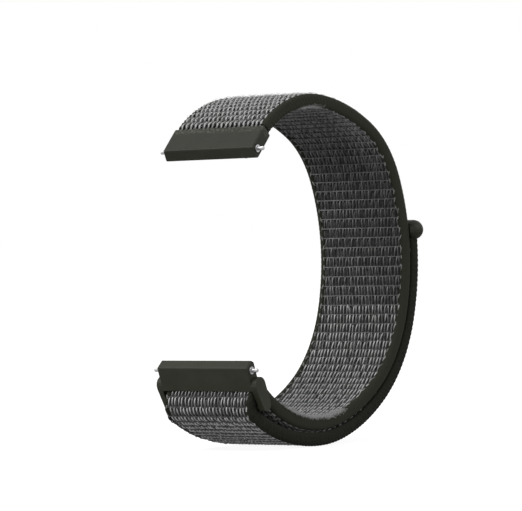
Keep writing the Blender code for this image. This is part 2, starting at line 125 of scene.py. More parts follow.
def layLegs():
    bends = [(radius, math.radians(turn)) for radius, turn in strap["bends"]]
    outward = strap["thickness"] + strap["layerGap"]
    fold, slack = strap["foldRadius"], strap["slackRadius"]
    lastRadius, lastTurn = bends[-1]
    fromLast = slack - lastRadius - outward
    fromFold = slack - fold
    spread = lastRadius + fold
    slackTurn = cornerAngle(fromFold, fromLast, spread)
    shared = math.pi - cornerAngle(spread, fromLast, fromFold)
    legs = [(strap["tail"], 0.0)]
    legs += [(radius * turn, -1 / radius) for radius, turn in bends]
    foldPlace = sum(leg[0] for leg in legs)
    legs.append((fold * (math.pi + shared - slackTurn), 1 / fold))
    legs.append((slack * slackTurn, 1 / slack))
    lapBends = [(lastRadius, lastTurn - shared)] + list(reversed(bends[:-1]))
    legs += [((radius + outward) * turn, 1 / (radius + outward)) for radius, turn in lapBends]
    return legs, foldPlace


legs, foldPlace = layLegs()
beadPlace = foldPlace + strap["lapLength"]
peelPlace = beadPlace - strap["flapLength"]
splitPlace = beadPlace - strap["looseLength"]
rowStart = strap["tail"]
rowEnd = beadPlace - strap["lastRow"]


def routeAt(distances):
    distances = np.asarray(distances, float)
    y, z, heading = (np.zeros_like(distances) for _ in range(3))
    place = np.array(strap["start"])
    angle = math.radians(strap["heading"])
    start = 0.0
    for length, curvature in legs:
        part = distances >= start - (1 if start == 0 else 0)
        along = distances[part] - start
        turned = angle + curvature * along
        heading[part] = turned
        if curvature == 0:
            y[part] = place[0] + math.cos(angle) * along
            z[part] = place[1] + math.sin(angle) * along
            place = place + np.array((math.cos(angle), math.sin(angle))) * length
        else:
            centre = place + np.array((-math.sin(angle), math.cos(angle))) / curvature
            y[part] = centre[0] + np.sin(turned) / curvature
            z[part] = centre[1] - np.cos(turned) / curvature
            angle += curvature * length
            place = centre + np.array((math.sin(angle), -math.cos(angle))) / curvature
        start += length
    return y, z, heading


def faceRun(lift):
    # How far one walks along a face of the band, for many distances along its middle
    middle = np.linspace(0, beadPlace, strap["samples"])
    turned = np.diff(routeAt(middle)[2])
    return middle, np.concatenate(([0], np.cumsum(np.diff(middle) - lift * turned)))


def rowsOnFace(lift, start, end):
    # Numbers of the rows on a face whose middles lie from start to end, and where that face's rows begin
    middle, run = faceRun(lift)
    begin, low, high = np.interp((strap["tail"], start, end), middle, run)
    first = math.ceil((low - begin) / strap["rowPitch"] - 0.5)
    last = math.ceil((high - begin) / strap["rowPitch"] - 0.5)
    return first, last, begin


def readPoints(mesh):
    points = np.empty(len(mesh.vertices) * 3)
    mesh.vertices.foreach_get("co", points)
    return points.reshape(-1, 3)


def writePoints(mesh, points):
    mesh.vertices.foreach_set("co", points.astype(np.float32).ravel())
    mesh.update()


def layOnRoute(piece):
    # A piece is drawn flat: X across, Y along the band, Z from the band's middle to its hook side
    mesh = piece.data
    points = readPoints(mesh)
    corners = np.empty(len(mesh.loops), np.int32)
    mesh.loops.foreach_get("vertex_index", corners)
    for layer in list(mesh.uv_layers):
        mesh.uv_layers.remove(layer)
    flat = mesh.uv_layers.new(name="flat")
    flat.data.foreach_set("uv", (points[corners][:, :2] * 100).astype(np.float32).ravel())
    y, z, heading = routeAt(points[:, 1])
    laid = np.column_stack((
        points[:, 0],
        y - np.sin(heading) * points[:, 2],
        z + np.cos(heading) * points[:, 2],
    ))
    writePoints(mesh, laid)


def deselect():
    bpy.ops.object.select_all(action="DESELECT")


def active(piece):
    deselect()
    piece.select_set(True)
    bpy.context.view_layer.objects.active = piece


def finishWith(piece, kind, **settings):
    active(piece)
    bpy.ops.object.modifier_add(type=kind)
    modifier = piece.modifiers[-1]
    for name, value in settings.items():
        setattr(modifier, name, value)
    bpy.ops.object.modifier_apply(modifier=modifier.name)


def repeatAlong(piece, count, step):
    finishWith(
        piece, "ARRAY", count=count, use_relative_offset=False,
        use_constant_offset=True, constant_offset_displace=step,
    )


def flatGrid(name, across, along):
    # A plane from -1 to 1, ready to be sized
    deselect()
    bpy.ops.mesh.primitive_grid_add(x_subdivisions=across, y_subdivisions=along, size=2)
    grid = bpy.context.object
    grid.name = name
    return grid


def setTone(piece, tones):
    # How light the yarn is at each point, which the yarn paints read
    mesh = piece.data
    layer = mesh.attributes.get("tone") or mesh.attributes.new("tone", "FLOAT", "POINT")
    values = np.broadcast_to(np.asarray(tones, np.float32), (len(mesh.vertices),))
    layer.data.foreach_set("value", np.ascontiguousarray(values))


def smooth(piece, angle=60):
    active(piece)
    bpy.ops.object.shade_smooth_by_angle(angle=math.radians(angle))


# Shader sums are written as Python expressions on these
class Wire:
    def __init__(self, tree, socket=None):
        self.tree = tree
        self.socket = socket

    def add(self, kind, settings=None, inputs=None, output=0):
        node = self.tree.nodes.new(kind)
        for name, value in (settings or {}).items():
            setattr(node, name, value)
        for name, value in (inputs or {}).items():
            if isinstance(value, Wire):
                self.tree.links.new(value.socket, node.inputs[name])
            else:
                node.inputs[name].default_value = value
        return Wire(self.tree, node.outputs[output])

    def sum(self, operation, first, second):
        return self.add("ShaderNodeMath", {"operation": operation}, {0: first, 1: second})

    def __add__(self, other):
        return self.sum("ADD", self, other)

    def __radd__(self, other):
        return self.sum("ADD", other, self)

    def __sub__(self, other):
        return self.sum("SUBTRACT", self, other)

    def __rsub__(self, other):
        return self.sum("SUBTRACT", other, self)

    def __mul__(self, other):
        return self.sum("MULTIPLY", self, other)

    def __rmul__(self, other):
        return self.sum("MULTIPLY", other, self)

    def between(self, low, high):
        inputs = {"Value": self, "From Min": low, "From Max": high}
        return self.add("ShaderNodeMapRange", {"interpolation_type": "SMOOTHSTEP"}, inputs)

    def blendOf(self, first, second):
        return self.add("ShaderNodeMix", {"data_type": "RGBA"}, {0: self, 6: first, 7: second}, 2)

    def noise(self, place, scale, detail):
        return self.add("ShaderNodeTexNoise", None, {"Vector": place, "Scale": scale, "Detail": detail})

    def stretched(self, place, sizes):
        return self.add("ShaderNodeVectorMath", {"operation": "MULTIPLY"}, {0: place, 1: sizes})

    def along(self, place, start, way):
        moved = self.add("ShaderNodeVectorMath", {"operation": "SUBTRACT"}, {0: place, 1: start})
        return self.add("ShaderNodeVectorMath", {"operation": "DOT_PRODUCT"}, {0: moved, 1: way}, 1)

    def bump(self, height, depth, strength):
        inputs = {"Height": height, "Distance": depth, "Strength": strength}
        return self.add("ShaderNodeBump", None, inputs)


def startPaint(name, **fixed):
    paint = bpy.data.materials.new(name)
    paint.use_nodes = True
    tree = paint.node_tree
    shader = tree.nodes["Principled BSDF"]
    for label, value in fixed.items():
        shader.inputs[label.replace("_", " ")].default_value = value
    return paint, Wire(tree), shader


def feed(wire, shader, **links):
    for label, value in links.items():
        wire.tree.links.new(value.socket, shader.inputs[label.replace("_", " ")])


yarnPaint = {
    "leaf": {
        "dark": (0.010, 0.010, 0.010, 1), "light": (0.285, 0.285, 0.282, 1),
        "rough": 0.70, "sheen": 0.45,
    },
    # The stroke yarn is painted darker for the wrist side's upper rows, as painted shade; lit copies of
    # it follow
    "stroke": {
        "dark": (0.008, 0.008, 0.008, 1), "light": (0.175, 0.175, 0.173, 1),
        "rough": 0.70, "sheen": 0.45,
    },
    # Lit copies of the stroke yarn, painted lighter as painted light: for the wrist side's lower rows,
    # and for the lap
    "litLowStroke": {
        "dark": (0.008, 0.008, 0.008, 1), "light": (0.360, 0.360, 0.355, 1),
        "rough": 0.70, "sheen": 0.45,
    },
    "litLapStroke": {
        "dark": (0.008, 0.008, 0.008, 1), "light": (0.400, 0.400, 0.395, 1),
        "rough": 0.70, "sheen": 0.45,
    },
    "weft": {
        "dark": (0.030, 0.030, 0.030, 1), "light": (0.165, 0.165, 0.163, 1),
        "rough": 0.70, "sheen": 0.30,
    },
    # The ground is painted near black, as painted shade in the gaps between the loops
    "ground": {
        "dark": (0.006, 0.006, 0.006, 1), "light": (0.030, 0.030, 0.029, 1),
        "rough": 0.85, "sheen": 0.0,
    },
    "edge": {
        "dark": (0.003, 0.003, 0.002, 1), "light": (0.018, 0.019, 0.013, 1),
        "rough": 0.80, "sheen": 0.0,
    },
}
yarnGrain = {
    "strands": (160.0, 14.0, 1.0),      # counts across and along the band, per centimetre
    "fuzz": (60.0, 60.0, 1.0),
    "toneShare": 0.75, "strandShare": 0.35, "fuzzShare": 0.20, "darker": 0.12,
    "roughSpread": 0.20, "depth": 0.00004, "strength": 0.6,
}


def makeYarnPaint(name, look, grain):
    # Fine strands run along the yarn, and each loop has its own tone
    paint, wire, shader = startPaint(
        name, Sheen_Weight=look["sheen"], Sheen_Roughness=0.4, Specular_IOR_Level=0.1,
    )
    flat = wire.add("ShaderNodeUVMap", {"uv_map": "flat"})
    tone = wire.add("ShaderNodeAttribute", {"attribute_name": "tone"}, None, 2)
    strands = wire.noise(wire.stretched(flat, grain["strands"]), 1.0, 3.0)
    fuzz = wire.noise(wire.stretched(flat, grain["fuzz"]), 1.0, 2.0)
    lightness = tone * grain["toneShare"] + strands.between(0.3, 0.7) * grain["strandShare"]
    lightness = lightness + fuzz * grain["fuzzShare"] - grain["darker"]
    shade = lightness.between(0.0, 1.0).blendOf(look["dark"], look["light"])
    rough = strands * grain["roughSpread"] + (look["rough"] - grain["roughSpread"] / 2)
    fibres = wire.bump(strands + fuzz * 0.5, grain["depth"], grain["strength"])
    feed(wire, shader, Base_Color=shade, Roughness=rough, Normal=fibres)
    return paint


mouldedPaint = {
    "low": (0.0125, 0.0138, 0.0077, 1),
    "high": (0.0162, 0.0176, 0.0106, 1),
    "rough": 0.52,
    "grain": 3600.0,
    "grainDepth": 0.000012,
    "cloud": 260.0,
    "speck": (0.060, 0.060, 0.047, 1),
    "speckScale": 2100.0,
    "speckShare": 0.7,
    "faceCrease": (0.0, 0.0, 0.02160),      # front edge of the upper connector's outer face
    "faceBack": (0.0, 0.68835, 0.72537),    # along that face, towards the band
    "facePress": (0.0043, 0.0049),          # the mottled strip begins between these, next to the band
}
# A darker copy of the moulded olive for the bead, as painted shade on its unlit side
shadedBeadPaint = {
    **mouldedPaint, "low": (0.0085, 0.0094, 0.0052, 1), "high": (0.0112, 0.0122, 0.0072, 1),
}
pressedPaint = {
    **mouldedPaint, "low": (0.0086, 0.0095, 0.0052, 1), "high": (0.0113, 0.0123, 0.0072, 1),
}


def makeMouldedPaint(name, look, pressed=False):
    paint, wire, shader = startPaint(name, Specular_IOR_Level=0.18)
    place = wire.add("ShaderNodeTexCoord", None, None, 3)
    grain = wire.noise(place, look["grain"], 3.0)
    cloud = wire.noise(place, look["cloud"], 2.0)
    shade = cloud.between(0.3, 0.7).blendOf(look["low"], look["high"])
    if pressed:
        back = wire.along(place, look["faceCrease"], look["faceBack"])
        specks = wire.noise(place, look["speckScale"], 2.0).between(0.45, 0.62)
        specks = specks * back.between(*look["facePress"]) * look["speckShare"]
        shade = specks.blendOf(shade, look["speck"])
    rough = cloud * 0.10 + grain * 0.06 + (look["rough"] - 0.05)
    relief = wire.bump(grain, look["grainDepth"], 0.5)
    feed(wire, shader, Base_Color=shade, Roughness=rough, Normal=relief)
    return paint


steelPaint = {
    "tone": (0.50, 0.50, 0.51, 1),
    "worn": (0.36, 0.36, 0.36, 1),
    "rough": 0.26,
    "rings": (9000.0, 400.0, 400.0),    # fine turning marks round the bar
    "ringDepth": 0.000006,
    "spots": 1500.0,
}
springPaint = {**steelPaint, "tone": (0.40, 0.40, 0.41, 1), "rough": 0.32}


def makeSteelPaint(name, look):
    paint, wire, shader = startPaint(name, Metallic=1.0)
    place = wire.add("ShaderNodeTexCoord", None, None, 3)
    rings = wire.noise(wire.stretched(place, look["rings"]), 1.0, 2.0)
    spots = wire.noise(place, look["spots"], 2.0)
    shade = spots.between(0.55, 0.75).blendOf(look["tone"], look["worn"])
    rough = rings * 0.14 + spots * 0.08 + (look["rough"] - 0.10)
    relief = wire.bump(rings, look["ringDepth"], 0.5)
    feed(wire, shader, Base_Color=shade, Roughness=rough, Normal=relief)
    return paint


paints = {kind: makeYarnPaint(kind + "Yarn", look, yarnGrain) for kind, look in yarnPaint.items()}
paints["moulded"] = makeMouldedPaint("mouldedOlive", mouldedPaint)
paints["pressed"] = makeMouldedPaint("mouldedOlivePressed", pressedPaint, True)
paints["bead"] = makeMouldedPaint("mouldedOliveBeadShaded", shadedBeadPaint)
paints["steel"] = makeSteelPaint("brightSteel", steelPaint)
paints["spring"] = makeSteelPaint("springWire", springPaint)
print("materials made")


# Loops of yarn: each is drawn once, flat, and set out in rows and columns.
# Its widths, heights, lifts and painted light are given at these stations along it: a painted highlight
# at its head and painted shade where it tucks under the next row.
# Its slants change with the place along the band, and so does painted light and shade: lighter rows
# where the band is lit, darker rows where it lies in shade.
loopStations = (-0.5, -0.38, -0.2, 0.0, 0.2, 0.38, 0.5)
leafLoop = {
    "side": 1, "columns": 19, "columnPitch": 0.00106, "shift": 0.0, "phase": 0.0,
    "length": 0.0022, "sides": 6,
    "halfWidths": (0.00008, 0.00018, 0.00022, 0.00021, 0.00017, 0.00012, 0.00006),
    "halfHeights": (0.00006, 0.00014, 0.00017, 0.00016, 0.00014, 0.00011, 0.00005),
    "lifts": (0.00090, 0.00116, 0.00130, 0.00126, 0.00112, 0.00094, 0.00076),
    "stagger": 0.0, "lean": 0.0, "slantPlaces": (0.0,), "slants": (-0.00018,), "leanSpread": 0.00008,
    "tones": (0.88, 0.88), "paintedLightAlong": (0.80, 1.02, 1.08, 0.92, 0.70, 0.48, 0.36), "toneSpread": 0.28,
    "wander": 0.00005, "paintedLightPlaces": (0.0,), "paintedLightGains": (1.0,),
}
underLeafLoop = {
    **leafLoop, "phase": 0.45, "sides": 4,
    "halfWidths": (0.00010, 0.00018, 0.00022, 0.00023, 0.00022, 0.00018, 0.00010),
    "lifts": (0.00084, 0.00096, 0.00102, 0.00102, 0.00098, 0.00090, 0.00080),
    # The under leaves are painted darker than the top ones, as painted shade beneath them
    "tones": (0.36, 0.36), "paintedLightAlong": (0.9,) * 7, "toneSpread": 0.20,
}
strokeLoop = {
    "side": -1, "columns": 24, "columnPitch": 0.00079, "shift": 0.00035, "phase": -0.06,
    "length": 0.0020, "sides": 6,
    "halfWidths": (0.00012, 0.00014, 0.00014, 0.00012, 0.00010, 0.00008, 0.00005),
    "halfHeights": (0.00010, 0.00012, 0.00012, 0.00011, 0.00010, 0.00008, 0.00005),
    "lifts": (0.00124, 0.00129, 0.00127, 0.00119, 0.00110, 0.00100, 0.00088),
    "stagger": 0.5, "lean": 0.00013, "leanSpread": 0.00012,
    "slantPlaces": (0.045, 0.055, 0.069, 0.081, 0.146, 0.152),
    "slants": (0.00045, 0.00070, 0.00050, 0.0, 0.0, 0.00028),
    "tones": (0.86, 0.46), "paintedLightAlong": (1.35, 1.19, 0.96, 0.70, 0.58, 0.47, 0.40), "toneSpread": 0.46,
    # Painted light and shade by place: rows painted darker where the wrist side lies in shade, lighter
    # towards its bottom, where it is lit
    "wander": 0.00006, "paintedLightPlaces": (0.040, 0.052, 0.070, 0.082, 0.084, 0.098, 0.115, 0.135),
    "paintedLightGains": (1.30, 0.66, 0.72, 0.95, 0.68, 0.90, 1.70, 2.40),
}
# Lit copy of the strokes, with lighter tones as painted light, for the wrist side's lower rows
litLowStrokeLoop = {
    **strokeLoop, "tones": (0.95, 0.60), "paintedLightAlong": (1.25, 1.30, 1.15, 0.85, 0.55, 0.25, 0.12),
}
# Lit copy of the strokes, with lighter tones as painted light, for the lap and the loose end
litLapStrokeLoop = {
    **strokeLoop, "tones": (1.05, 0.70), "paintedLightAlong": (1.20, 1.35, 1.30, 1.10, 0.75, 0.30, 0.10),
    # Painted light by place: the lap's rows are painted darker near the fold and lighter towards its
    # underside
    "toneSpread": 0.40, "paintedLightPlaces": (0.154, 0.162), "paintedLightGains": (0.58, 2.3),
}
underStrokeLoop = {
    **strokeLoop, "columns": 25, "phase": 0.5, "sides": 4,
    "halfWidths": (0.00012, 0.00015, 0.00017, 0.00017, 0.00017, 0.00015, 0.00012),
    "lifts": (0.00098, 0.00098, 0.00096, 0.00094, 0.00096, 0.00098, 0.00098),
    # The under strokes are painted darker than the top ones, as painted shade beneath them
    "stagger": -0.5, "tones": (0.34, 0.24), "paintedLightAlong": (0.9,) * 7, "toneSpread": 0.25,
    # Painted light and shade by place, as for the strokes above them
    "paintedLightPlaces": (0.040, 0.055, 0.070, 0.090, 0.115, 0.140, 0.147),
    "paintedLightGains": (1.4, 0.80, 0.80, 1.00, 1.60, 1.90, 0.70),
}
edgeLoop = {
    "side": 1, "columns": 2, "columnPitch": 0.0194, "shift": 0.0, "phase": 0.0,
    "length": 0.0022, "sides": 6,
    "halfWidths": (0.00008, 0.00018, 0.00026, 0.00028, 0.00026, 0.00018, 0.00008),
    "halfHeights": (0.00004, 0.00008, 0.00010, 0.00010, 0.00010, 0.00008, 0.00004),
    "lifts": (0.00098, 0.00110, 0.00117, 0.00119, 0.00117, 0.00110, 0.00098),
    "stagger": 0.0, "lean": 0.00030, "slantPlaces": (0.0,), "slants": (0.0,), "leanSpread": 0.00010,
    "tones": (0.6, 0.6), "paintedLightAlong": (1.0,) * 7, "toneSpread": 0.3, "wander": 0.00004,
    "paintedLightPlaces": (0.0,), "paintedLightGains": (1.0,),
}
stitchLoop = {
    "side": -1, "columns": 2, "columnPitch": 0.01935, "shift": 0.0, "phase": 0.5,
    "length": 0.0012, "sides": 5,
    "halfWidths": (0.00006, 0.00010, 0.00012, 0.00012, 0.00012, 0.00010, 0.00006),
    "halfHeights": (0.00006, 0.00010, 0.00012, 0.00012, 0.00012, 0.00010, 0.00006),
    "lifts": (0.00106, 0.00118, 0.00125, 0.00127, 0.00125, 0.00118, 0.00106),
    "stagger": 0.0, "lean": 0.00035, "slantPlaces": (0.0,), "slants": (0.0,), "leanSpread": 0.00015,
    "tones": (0.9, 0.9), "paintedLightAlong": (1.0,) * 7, "toneSpread": 0.5, "wander": 0.00009,
    "paintedLightPlaces": (0.0,), "paintedLightGains": (1.0,),
}
fuzzLoop = {
    **leafLoop, "columns": 46, "columnPitch": 0.00042, "phase": 0.3, "length": 0.0016, "sides": 3,
    "halfWidths": (0.000015, 0.00002, 0.00002, 0.00002, 0.00002, 0.00002, 0.000015),
    "halfHeights": (0.000015, 0.00002, 0.00002, 0.00002, 0.00002, 0.00002, 0.000015),
    "lifts": (0.00100, 0.00130, 0.00152, 0.00160, 0.00152, 0.00130, 0.00100),
    "stagger": 0.5, "slants": (0.0,), "leanSpread": 0.00090,
    "tones": (0.9, 0.9), "paintedLightAlong": (1.0,) * 7, "toneSpread": 0.30, "wander": 0.00030,
}
brinkFuzzLoop = {
    **fuzzLoop, "side": -1, "columns": 80, "columnPitch": 0.000025, "shift": 0.0099,
    "length": 0.0018,
    "lifts": (0.00095, 0.00120, 0.00138, 0.00146, 0.00138, 0.00120, 0.00095),
    "leanSpread": 0.00050, "wander": 0.00040,
}
crownFuzzLoop = {**brinkFuzzLoop, "columns": 36}


def modelLoop(name, look):
    deselect()
    bpy.ops.mesh.primitive_cylinder_add(
        vertices=look["sides"], radius=1, depth=1, rotation=(math.pi / 2, 0, 0),
    )
    loop = bpy.context.object
    loop.name = name
    bpy.ops.object.transform_apply(location=False, rotation=True, scale=False)
    bpy.ops.object.mode_set(mode="EDIT")
    for station in loopStations[1:-1]:
        bpy.ops.mesh.select_all(action="SELECT")
        bpy.ops.mesh.bisect(plane_co=(0, station, 0), plane_no=(0, 1, 0))
    bpy.ops.mesh.select_all(action="SELECT")
    bpy.ops.mesh.normals_make_consistent(inside=False)
    bpy.ops.object.mode_set(mode="OBJECT")
    points = readPoints(loop.data)
    along = points[:, 1]
    points[:, 0] *= np.interp(along, loopStations, look["halfWidths"])
    points[:, 2] *= np.interp(along, loopStations, look["halfHeights"])
    points[:, 2] += np.interp(along, loopStations, look["lifts"])
    points[:, 1] *= look["length"]
    writePoints(loop.data, points)
    return loop


def setOutLoops(name, look, start, end, seed, paint, bare=None):
    # Rows of loops from start to end along the band; bare names an area that gets none
    lift = look["side"] * max(look["lifts"])
    firstRow, lastRow, begin = rowsOnFace(lift, start, end)
    middle, run = faceRun(lift)
    loop = modelLoop(name, look)
    perLoop = len(loop.data.vertices)
    along = readPoints(loop.data)[:, 1] / look["length"]
    rows, columns = lastRow - firstRow, look["columns"]
    repeatAlong(loop, columns, (look["columnPitch"], 0, 0))
    repeatAlong(loop, rows, (0, strap["rowPitch"], 0))
    points = readPoints(loop.data).reshape(rows, columns, perLoop, 3)
    chance = np.random.default_rng(seed)
    points[..., 0] -= (columns - 1) / 2 * look["columnPitch"] - look["side"] * look["shift"]
    points[..., 1] += begin + (firstRow + 0.5 + look["phase"]) * strap["rowPitch"]
    parity = (np.arange(rows) + firstRow) % 2
    points[..., 0] += ((parity - 0.5) * look["stagger"] * look["columnPitch"])[:, None, None]
    odd = (np.arange(columns)[None, :] + np.arange(rows)[:, None] + firstRow) % 2
    rowMiddles = begin + (firstRow + 0.5 + np.arange(rows)) * strap["rowPitch"]
    rowPlaces = np.interp(rowMiddles, run, middle)
    slants = np.interp(rowPlaces, look["slantPlaces"], look["slants"])
    leaning = slants[:, None] + (1 - 2 * odd) * look["lean"]
    leaning = leaning + chance.normal(0, look["leanSpread"], odd.shape)
    points[..., 0] += leaning[..., None] * along
    shape = (rows, columns, 1)      # each loop strays a little, most of all along the band
    points[..., 0] += chance.normal(0, look["wander"], shape)
    points[..., 1] += chance.normal(0, look["wander"] * 1.5, shape)
    points[..., 2] += chance.normal(0, look["wander"] * 0.4, shape)
    points[..., 1] = np.interp(points[..., 1], run, middle)
    if look["side"] < 0:
        points[..., 0] *= -1
        points[..., 2] *= -1
    middles = points.mean(axis=2)
    writePoints(loop.data, points.reshape(-1, 3))
    tones = np.where(odd == 0, look["tones"][0], look["tones"][1])
    tones = tones + chance.normal(0, look["toneSpread"] / 2, tones.shape)
    # Painted light along each loop: a painted highlight at its head, painted shade at its tucked end
    paintedLightAlong = np.interp(along, loopStations, look["paintedLightAlong"])
    paintedLightGains = np.interp(rowPlaces, look["paintedLightPlaces"], look["paintedLightGains"])[:, None, None]
    # A painted-light gain over 1 paints a highlight on a loop's first end, and one under 1 paints all of
    # it darker, as painted shade
    gain = np.where(paintedLightGains > 1, 1 + (paintedLightGains - 1) * (0.5 - along), paintedLightGains)
    setTone(loop, (tones.clip(0, 1)[..., None] * paintedLightAlong * gain).ravel())
    if bare:
        halfWidth, low, high = bare
        inside = (middles[..., 1] > low) & (middles[..., 1] < high)
        inside &= np.abs(middles[..., 0]) < halfWidth
        active(loop)
        bpy.ops.object.mode_set(mode="EDIT")
        bpy.ops.mesh.select_all(action="DESELECT")
        bpy.ops.object.mode_set(mode="OBJECT")
        loop.data.vertices.foreach_set("select", np.repeat(inside.ravel(), perLoop))
        bpy.ops.object.mode_set(mode="EDIT")
        bpy.ops.mesh.delete(type="VERT")
        bpy.ops.object.mode_set(mode="OBJECT")
    layOnRoute(loop)
    smooth(loop)
    loop.data.materials.append(paint)
    return loop


hookTape = {
    "length": 0.0200, "halfWidth": 0.00825, "setback": 0.0034, "bottom": 0.00092, "top": 0.00128,
    "margin": 0.0003, "tone": 0.2,
    "pitchAcross": 0.00075, "pitchAlong": 0.0008,
    "stem": 0.00010, "tall": 0.00026, "sunk": 0.00004,      # one hook
    "bendAt": 0.15, "thinTop": 0.7, "bend": 0.00016,        # where it bends, how thin and how far
}
hookEnd = beadPlace - hookTape["setback"]
hookStart = hookEnd - hookTape["length"]
hookArea = (
    hookTape["halfWidth"] + hookTape["margin"],
    hookStart - hookTape["margin"],
    hookEnd + hookTape["margin"],
)
underStart = rowStart - strap["rowPitch"]
lowerPlace = strap["lowerPlace"]
loopRows = (
    # name, loop, from, to, seed, paint, area without loops
    ("bandLeaves", leafLoop, rowStart, splitPlace, 11, "leaf", None),
    ("endLeaves", leafLoop, splitPlace, rowEnd, 12, "leaf", hookArea),
    ("innerStrokes", strokeLoop, rowStart, lowerPlace, 13, "stroke", None),
    ("lowerStrokes", litLowStrokeLoop, lowerPlace, foldPlace, 27, "litLowStroke", None),
    ("lapStrokes", litLapStrokeLoop, foldPlace, splitPlace, 14, "litLapStroke", None),
    ("endStrokes", litLapStrokeLoop, splitPlace, rowEnd, 15, "litLapStroke", None),
    ("bandUnderLeaves", underLeafLoop, underStart, splitPlace, 16, "leaf", None),
    ("endUnderLeaves", underLeafLoop, splitPlace, rowEnd, 17, "leaf", hookArea),
    ("bandUnderStrokes", underStrokeLoop, rowStart, splitPlace, 18, "stroke", None),
    ("endUnderStrokes", underStrokeLoop, splitPlace, rowEnd, 19, "stroke", None),
    ("bandFuzz", fuzzLoop, rowStart, foldPlace - 0.0200, 25, "leaf", None),
    ("brinkFuzz", brinkFuzzLoop, foldPlace - 0.0300, foldPlace - 0.0060, 26, "leaf", None),
    ("crownFuzz", crownFuzzLoop, 0.0165, 0.0240, 29, "leaf", None),
    ("bandStitches", stitchLoop, rowStart, splitPlace, 20, "stroke", None),
    ("endStitches", stitchLoop, splitPlace, rowEnd, 23, "stroke", None),
)
woven = {}
for name, look, start, end, seed, kind, bare in loopRows:
    woven[name] = setOutLoops(name, look, start, end, seed, paints[kind], bare)
print("loops set out")


# Weft: the thread that holds each row down on the wrist side
weftThread = {
    "radius": 0.00010, "reach": 0.0095, "wave": 0.00007, "lift": 0.00123, "stepsPerStroke": 2,
    "tone": 0.66, "toneSpread": 0.36, "seed": 24,
    # Painted shade by place: the weft is painted darker on the upper wrist side and dark between the
    # lower rows
    "paintedLightPlaces": (0.045, 0.052, 0.072, 0.090, 0.110), "paintedLightGains": (1.0, 0.80, 0.85, 0.45, 0.15),
}


def makeWeft(name, look, start, end, paint):
    firstRow, lastRow, begin = rowsOnFace(-look["lift"], start, end)
    middle, run = faceRun(-look["lift"])
    steps = strokeLoop["columns"] * look["stepsPerStroke"]
    curve = bpy.data.curves.new(name, "CURVE")
    curve.dimensions = "3D"
    curve.bevel_depth = look["radius"]
    curve.bevel_resolution = 1
    curve.use_fill_caps = True
    spline = curve.splines.new("POLY")
    spline.points.add(steps)
    for index, point in enumerate(spline.points):
        across = -look["reach"] + 2 * look["reach"] * index / steps
        point.co = (across, 0, -look["lift"] - look["wave"] * (-1) ** index, 1)
    thread = bpy.data.objects.new(name, curve)
    bpy.context.scene.collection.objects.link(thread)
    active(thread)
    bpy.ops.object.convert(target="MESH")
    thread = bpy.context.object
    repeatAlong(thread, lastRow - firstRow, (0, strap["rowPitch"], 0))
    points = readPoints(thread.data)
    points[:, 1] += begin + firstRow * strap["rowPitch"]
    points[:, 1] = np.interp(points[:, 1], run, middle)
    writePoints(thread.data, points)
    chance = np.random.default_rng(look["seed"])
    tones = chance.normal(look["tone"], look["toneSpread"], len(points))
    # The weft's painted shade by place
    tones = tones * np.interp(points[:, 1], look["paintedLightPlaces"], look["paintedLightGains"])
    setTone(thread, tones.clip(0, 1))
    layOnRoute(thread)
    smooth(thread)
    thread.data.materials.clear()
    thread.data.materials.append(paint)
    return thread


woven["bandWeft"] = makeWeft("bandWeft", weftThread, rowStart, splitPlace, paints["weft"])
woven["endWeft"] = makeWeft("endWeft", weftThread, splitPlace, rowEnd, paints["weft"])


# Ground: the woven core under the loops, painted near black as painted shade in the gaps between them,
# pressed thin where it goes into a moulding
groundCloth = {
    "halfWidth": 0.0096, "thickness": 0.0019, "start": 0.0002, "step": 0.0005, "tone": 0.4,
    "pressed": 0.52, "pressedEnds": (0.0006, 0.0024, 0.0018),   # past the connector, before the bead
}


def makeGround(name, look, start, end, paint):
    ground = flatGrid(name, 24, round((end - start) / look["step"]))
    points = readPoints(ground.data)
    points[:, 0] *= look["halfWidth"]
    points[:, 1] = start + (points[:, 1] + 1) / 2 * (end - start)
    writePoints(ground.data, points)
    finishWith(ground, "SOLIDIFY", thickness=look["thickness"], offset=0)
    points = readPoints(ground.data)
    past, before, last = look["pressedEnds"]
    places = (strap["tail"], strap["tail"] + past, beadPlace - before, beadPlace - last)
    points[:, 2] *= np.interp(points[:, 1], places, (look["pressed"], 1, 1, look["pressed"]))
    writePoints(ground.data, points)
    setTone(ground, look["tone"])
    layOnRoute(ground)
    smooth(ground)
    ground.data.materials.append(paint)
    return ground


woven["bandGround"] = makeGround(
    "bandGround", groundCloth, groundCloth["start"], splitPlace, paints["ground"],
)
woven["endGround"] = makeGround("endGround", groundCloth, splitPlace, beadPlace, paints["ground"])


# Edge cords: the dark rounded selvedges, ribbed by the turns of the weft
edgeCord = {
    "around": 20, "step": 0.00017, "width": 0.0016, "thickness": 0.0026,
    "squareness": 2.6, "outlineSteps": 400, "beadGap": 0.0015,
    "ribPitch": 0.001015, "ribPlaces": (0.022, 0.036, 0.146, 0.152),
    "ribs": (0.00018, 0.00004, 0.00004, 0.00010),
    # The cord is painted lighter along the band and darker on the lap, as painted light and shade
    "lapShadePlaces": (0.146, 0.152), "tones": (0.95, 0.30),
    "reachPlaces": (0.155, 0.161), "reaches": (0.0107, 0.0107),     # how far out its side lies
    "swells": (1.0, 1.08), "offsets": (0.0, 0.0001),
}
farCord = {
    **edgeCord, "reachPlaces": (0.146, 0.152), "reaches": (0.0107, 0.0102),
    "swells": (1.0, 0.90), "offsets": (0.0, 0.0),
}


